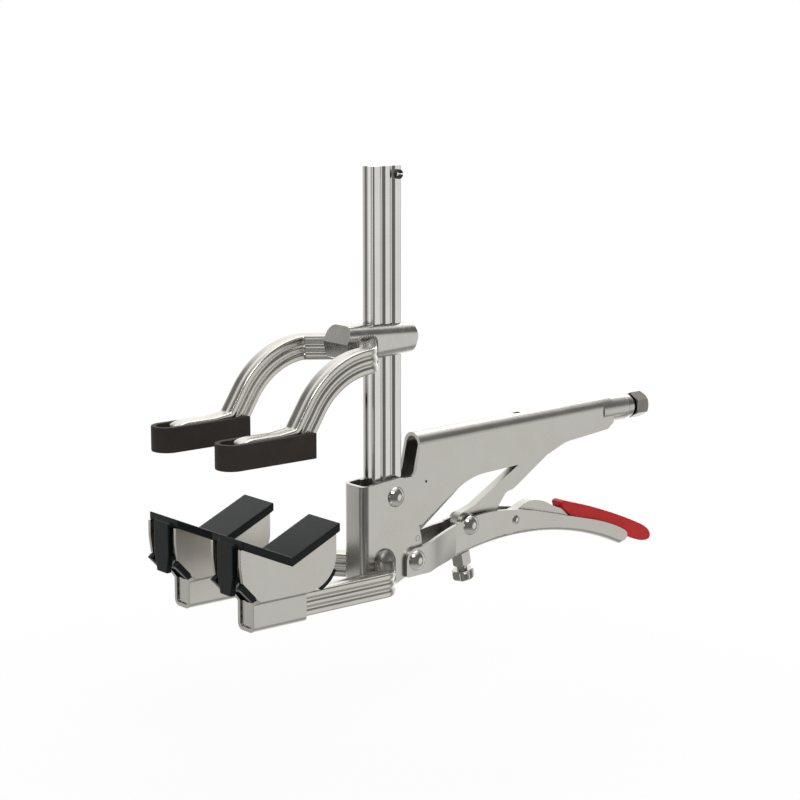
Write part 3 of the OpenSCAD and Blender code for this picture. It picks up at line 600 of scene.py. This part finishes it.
coils, coil_keys = coil_group(turned)
coiled = repeated("coils", coils, coil_keys,
                  {"Turns": 33.0, "Radius": COIL_R * MM, "Height": COIL_L * MM,
                   "Wire": WIRE_R * MM})
coiled.data.transform(Matrix.Translation(on_spring(COIL_START) * MM) @ turned_to(along))
low = [on_spring(HOOK_R * math.cos(a) - HOOK_SLACK, HOOK_R * math.sin(a))
       for a in [math.radians(-200 + 10 * i) for i in range(21)]]
low += [on_spring(4.9), on_spring(6.2, 0.5), on_spring(7.1, 2.9)]
high = [on_spring(COIL_START + COIL_L, 2.9), on_spring(54.2, 0.5), on_spring(56),
        tab - along * 0.4]
spring = joined("tension_spring_finished", coiled, wire("low_hook", low, WIRE_R),
                wire("high_hook", high, WIRE_R))
finished(spring.name, spring, "handle", turned, "hardware_steel", "tension_spring")
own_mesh(spring)


# Weld seams: a bead of ripples round each stub, and the built-up crown above the lower ones
ripples, ripple_keys = ripple_group(weld_metal)


def seam(name, body, slot, points, size, step):
    """A bead along the points on the near side, and its mirror image on the far side."""
    for side, far in (("near", 1), ("far", -1)):
        piece = repeated(f"{name}_{side}", ripples, ripple_keys,
                         {"Size": size * MM, "Step": step * MM},
                         [(x, y * far, z) for x, y, z in points])
        finished(piece.name, piece, body, weld_metal, slot)


def arched(left, right, low, high, y, round_by):
    """Points up one side of a stub, over its top and down the other."""
    points = [(right, y, low), (right, y, high - round_by)]
    turns = [math.pi / 2 * i / 8 for i in range(9)]
    for turn in turns[1:]:
        points.append((right - round_by + round_by * math.cos(turn), y,
                       high - round_by + round_by * math.sin(turn)))
    for turn in turns:
        points.append((left + round_by - round_by * math.sin(turn), y,
                       high - round_by + round_by * math.cos(turn)))
    return points + [(left, y, low)]


seam("collar_weld", "slide_arm", "bright_bar",
     arched(left=-24.2, right=-11.8, low=121.8, high=135.4, y=-10.1, round_by=3.5),
     size=0.85, step=0.6)
seam("housing_weld", "jaw", "bright_bar",
     arched(left=-11.8, right=0.8, low=2.4, high=15.6, y=-9.0, round_by=2.5),
     size=0.8, step=0.55)

CROWN_X, CROWN_Y, CROWN_Z = -5.6, -9.2, 13.6
CROWN_RADII = (6.4, 4.2, 7.4)


def weld_crown(side, far):
    """The built-up weld above a lower arm: an egg shape cut off at the housing's wall."""
    work = bmesh.new()
    bmesh.ops.create_uvsphere(work, u_segments=48, v_segments=24, radius=1)
    bmesh.ops.transform(work, verts=work.verts, matrix=(
        Matrix.Translation(Vector((CROWN_X, CROWN_Y * far, CROWN_Z)) * MM)
        @ Matrix.Diagonal((*(r * MM for r in CROWN_RADII), 1))))
    bmesh.ops.bisect_plane(work, geom=work.verts[:] + work.edges[:] + work.faces[:], dist=1e-7,
                           plane_co=(0, HOUSING_WALL * far * MM, 0), plane_no=(0, far, 0),
                           clear_outer=True)
    bmesh.ops.holes_fill(work, edges=[e for e in work.edges if e.is_boundary])
    mesh = bpy.data.meshes.new("weld_crown_" + side)
    work.to_mesh(mesh)
    work.free()
    crown = smooth_by_angle(new_object("weld_crown_" + side, mesh), 50)
    finished(crown.name, crown, "jaw", weld_metal, "bright_bar")


weld_crown("near", 1)
weld_crown("far", -1)


# Small marks: painted shade in the punch mark

def disc(name, centre, normal, radius, body, finish, slot):
    """A thin round mark lying on a surface."""
    work = bmesh.new()
    bmesh.ops.create_cone(work, cap_ends=True, segments=32, radius1=radius * MM,
                          radius2=radius * MM, depth=0.04 * MM)
    mesh = bpy.data.meshes.new(name)
    work.to_mesh(mesh)
    work.free()
    mesh.transform(Matrix.Translation(Vector(centre) * MM) @ turned_to(normal))
    finished(name, smooth_by_angle(new_object(name, mesh), 40), body, finish, slot)


# Painted shade: a thin dark disc lies where the punch mark's hollow is in shade
disc("punch_mark_painted_shade", centre=(24.8, -6.76, 52.6), normal=(0, -1, 0), radius=0.75, body="handle",
     finish=punch_shade_and_dark_pin, slot="plated_steel")


# Stage, light and camera

def blob(tree, direction, middle, outer, inner, strength):
    """A soft patch of light in the surround, by the cosine of the angle from its middle."""
    near = add(tree, "ShaderNodeVectorMath", {0: direction}, operation="DOT_PRODUCT")
    near.inputs[1].default_value = Vector(middle).normalized()
    return add(tree, "ShaderNodeMapRange", {"Value": near.outputs["Value"]},
               {"From Min": outer, "From Max": inner, "To Min": 0, "To Max": strength},
               interpolation_type="SMOOTHSTEP").outputs["Result"]


LEVER_DROP = 0.085  # metres from the part's lowest point at rest to the table


def white_table():
    """A table low enough that it never hides the opened lever, and left out of reflections.

    The camera sees it glow white, with a trace of its matt face under the part.
    """
    bpy.ops.mesh.primitive_plane_add(size=14, location=(0, 0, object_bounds()[0][2] - LEVER_DROP))
    table = bpy.context.object
    table.name = "studio_table"
    made, tree = new_material("white_studio_table")
    rays = add(tree, "ShaderNodeLightPath").outputs["Is Camera Ray"]
    matt = add(tree, "ShaderNodeBsdfDiffuse", None, {"Color": linear("#f4f4f3")})
    glow = add(tree, "ShaderNodeEmission", None, {"Color": (1, 1, 1, 1), "Strength": 1.0})
    reach = add(tree, "ShaderNodeVectorMath",
                {0: add(tree, "ShaderNodeTexCoord").outputs["Object"]}, operation="LENGTH")
    fade = add(tree, "ShaderNodeMapRange", {"Value": reach.outputs["Value"]},
               {"From Min": 0.12, "From Max": 0.4, "To Min": 0.92, "To Max": 1.0},
               interpolation_type="SMOOTHSTEP")
    seen = add(tree, "ShaderNodeMath", {0: rays, 1: fade.outputs["Result"]}, operation="MULTIPLY")
    mix = add(tree, "ShaderNodeMixShader", {0: seen.outputs["Value"], 1: matt.outputs["BSDF"],
                                            2: glow.outputs[0]})
    add(tree, "ShaderNodeOutputMaterial", {"Surface": mix.outputs[0]})
    table.data.materials.append(made)
    table.visible_glossy = False


def light_surround():
    """The world: white to the camera, patches of light to a reflection, even light otherwise."""
    world = bpy.data.worlds.new("soft_surround")
    bpy.context.scene.world = world
    world.use_nodes = True
    tree = world.node_tree
    tree.nodes.clear()
    rays = add(tree, "ShaderNodeLightPath")
    way = add(tree, "ShaderNodeTexCoord").outputs["Generated"]
    total = None
    for middle, outer, inner, strength in (
            ((0.64, 0.77, 0.02), 0.25, 0.8, 1.2),       # the backdrop
            ((0, 0, 1), 0.66, 0.9, 0.8),                # overhead
            ((0.64, -0.77, -0.18), 0.87, 0.97, 0.78),   # softbox on the right
            ((0, 0, -1), 0.35, 0.9, 0.4),               # stands in for the table
            ((-0.64, 0.77, 0.0), 0.88, 0.98, 0.55),     # pale wall on the left
            ((-0.98, -0.2, 0.0), 0.93, 0.98, 0.9)):     # strip on the far left
        one = blob(tree, way, middle, outer, inner, strength)
        total = one if total is None else add(tree, "ShaderNodeMath", {0: total, 1: one},
                                              operation="ADD").outputs["Value"]
    level = add(tree, "ShaderNodeMath", {0: total}, {1: 0.17}, operation="ADD")
    shine = add(tree, "ShaderNodeBackground", {"Strength": level.outputs["Value"]},
                {"Color": (1.0, 0.995, 0.98, 1)})
    soft = add(tree, "ShaderNodeBackground", None, {"Color": linear("#fbfbfa"), "Strength": 0.55})
    white = add(tree, "ShaderNodeBackground", None, {"Color": (1, 1, 1, 1), "Strength": 1.0})
    mirror = add(tree, "ShaderNodeMixShader", {0: rays.outputs["Is Glossy Ray"],
                                               1: soft.outputs[0], 2: shine.outputs[0]})
    seen = add(tree, "ShaderNodeMath", {0: rays.outputs["Is Camera Ray"],
                                        1: rays.outputs["Is Transmission Ray"]},
               operation="MAXIMUM")
    mix = add(tree, "ShaderNodeMixShader", {0: seen.outputs["Value"], 1: mirror.outputs[0],
                                            2: white.outputs[0]})
    add(tree, "ShaderNodeOutputWorld", {"Surface": mix.outputs[0]})


def soft_lamps():
    """Three area lamps turned towards the middle of the part."""
    aim = Vector((0.01, 0, 0.09))
    for name, place, size, power in (("key_softbox", (-0.45, -0.75, 0.9), (0.5, 0.4), 3.6),
                                     ("top_softbox", (0.25, 0.1, 1.2), (0.9, 0.9), 3.0),
                                     ("rim_softbox", (0.9, 0.5, 0.5), (0.3, 0.8), 3.0)):
        lamp = bpy.data.lights.new(name, "AREA")
        lamp.shape = "RECTANGLE"
        lamp.size, lamp.size_y = size
        lamp.energy = power
        holder = new_object(name, lamp)
        holder.location = place
        holder.rotation_euler = (aim - Vector(place)).to_track_quat("-Z", "Y").to_euler()


def photo_camera():
    """The photograph's view, fitted to the object's edges."""
    turn, rise, away = math.radians(-39.61), math.radians(10.71), 1.15072
    target = Vector((0.0122, 0, 0.09741))
    back = Vector((math.sin(turn) * math.cos(rise), -math.cos(turn) * math.cos(rise),
                   math.sin(rise)))
    lens = bpy.data.cameras.new("photo_camera")
    lens.sensor_width = 36
    lens.lens = 97.75
    lens.clip_start, lens.clip_end = 0.05, 20
    camera = new_object("photo_camera", lens)
    camera.location = target + away * back
    camera.rotation_euler = (-back).to_track_quat("-Z", "Y").to_euler()
    bpy.context.scene.camera = camera


white_table()
light_surround()
soft_lamps()
photo_camera()
bpy.context.scene.view_settings.view_transform = "Standard"
